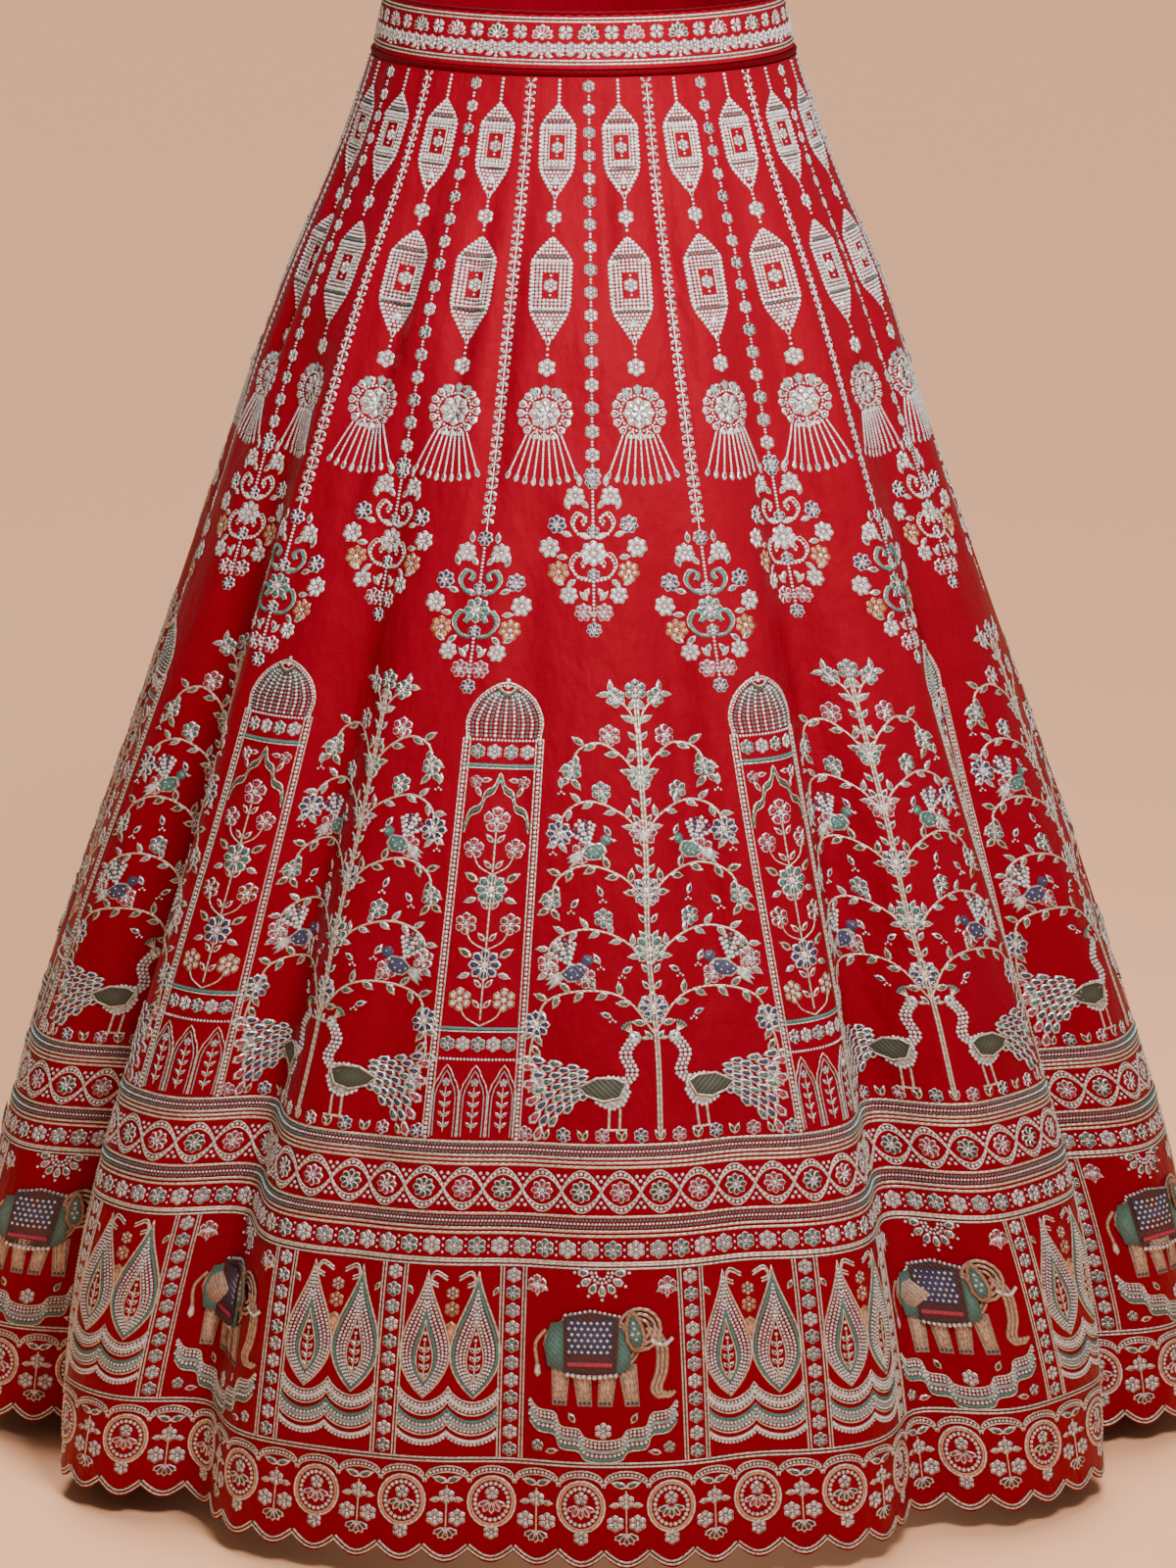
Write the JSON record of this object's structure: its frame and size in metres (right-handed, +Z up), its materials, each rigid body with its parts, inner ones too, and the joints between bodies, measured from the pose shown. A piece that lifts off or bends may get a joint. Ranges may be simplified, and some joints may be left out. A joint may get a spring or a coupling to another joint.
{
  "type": "lehenga skirt",
  "caption": "Full-length flared lehenga skirt of tapered panels with an embroidered waistband, a deep patterned border and a scalloped hem.",
  "frame": {"origin": "middle of the waist opening, level with the waistband's upper edge at the sides", "axes": "+Z up, the skirt's front faces -Y, +X is to the right of a viewer in front"},
  "size_m": [0.9012, 0.8172, 1.0302],
  "materials": {
    "silk": "raw silk with a soft sheen",
    "band_cloth": "raw silk folded double",
    "piping_cloth": "dark red satin cord piping",
    "pearl_beads": "pearly beads",
    "zari": "pale gold metallic thread",
    "coloured_thread": "satin stitch in muted jewel colours",
    "sequins": "small faceted stones and sequins"
  },
  "bodies": {
    "root": {"waistband_front": "band_cloth", "waistband_back": "band_cloth", "waist_piping_front": "piping_cloth", "waist_piping_back": "piping_cloth", "kali_01": "silk", "border_01": "silk", "kali_02": "silk", "border_02": "silk", "kali_03": "silk", "border_03": "silk", "kali_04": "silk", "border_04": "silk", "kali_05": "silk", "border_05": "silk", "kali_06": "silk", "border_06": "silk", "kali_07": "silk", "border_07": "silk", "kali_08": "silk", "border_08": "silk", "kali_09": "silk", "border_09": "silk", "kali_10": "silk", "border_10": "silk", "kali_11": "silk", "border_11": "silk"}
  },
  "joints": []
}
